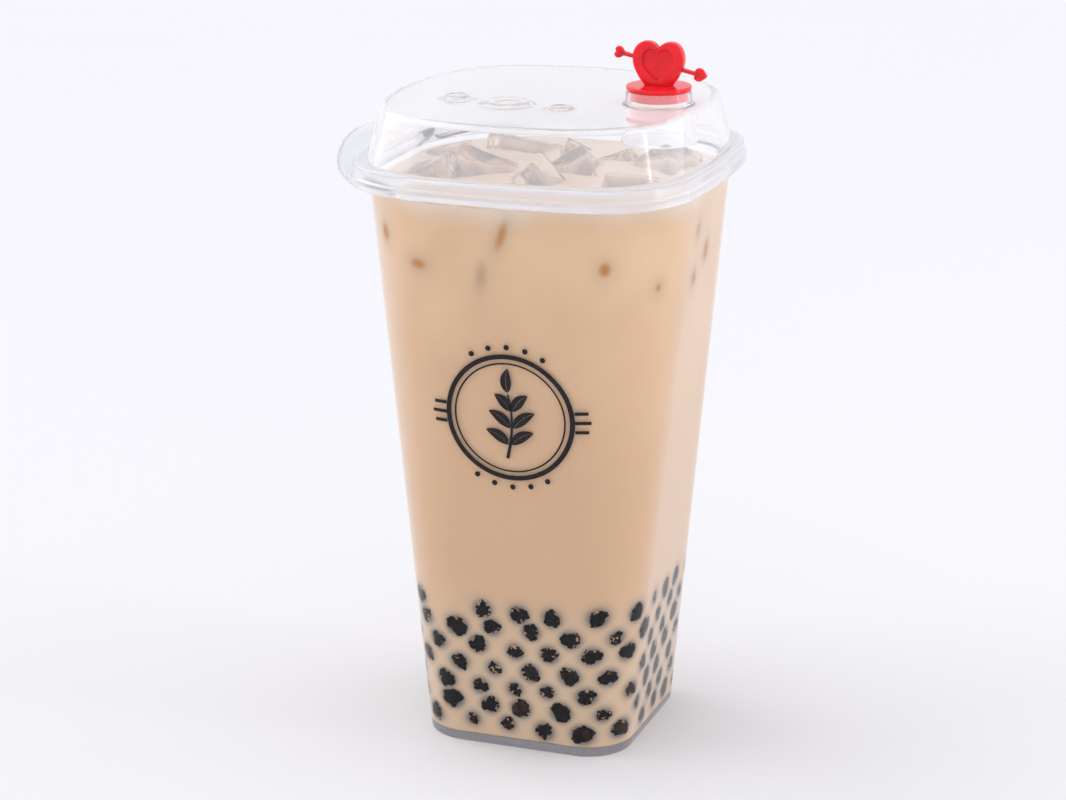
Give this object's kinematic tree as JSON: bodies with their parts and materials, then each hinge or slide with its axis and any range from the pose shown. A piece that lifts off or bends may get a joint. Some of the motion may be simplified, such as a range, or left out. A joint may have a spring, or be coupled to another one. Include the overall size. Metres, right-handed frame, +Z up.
{
  "type": "bubble tea",
  "caption": "Clear square cup of milk tea with dark pearls and ice under a clear domed lid, its round spout closed by a red heart stopper.",
  "frame": {"origin": "middle of the cup's foot, on the plane it stands on", "axes": "+Z up through the middle of the cup; +X towards the side with the drinking spout; the cup's front side, which the stopper's heart faces, looks along -Y"},
  "size_m": [0.1046, 0.096, 0.1918],
  "materials": {
    "cup": "clear thin plastic, smooth",
    "lid": "clear thin plastic, smooth",
    "stopper": "translucent red moulded plastic",
    "milk_tea": "milky tan liquid",
    "pearls": "glossy black-brown, wet",
    "ice": "wet clear ice"
  },
  "bodies": {
    "root": {"cup": "cup", "lid": "lid", "stopper": "stopper", "milk_tea": "milk_tea", "pearls": "pearls", "ice_1": "ice", "ice_2": "ice", "ice_3": "ice", "ice_4": "ice", "ice_5": "ice", "ice_6": "ice", "ice_7": "ice", "ice_8": "ice", "ice_9": "ice", "ice_10": "ice"}
  },
  "joints": []
}
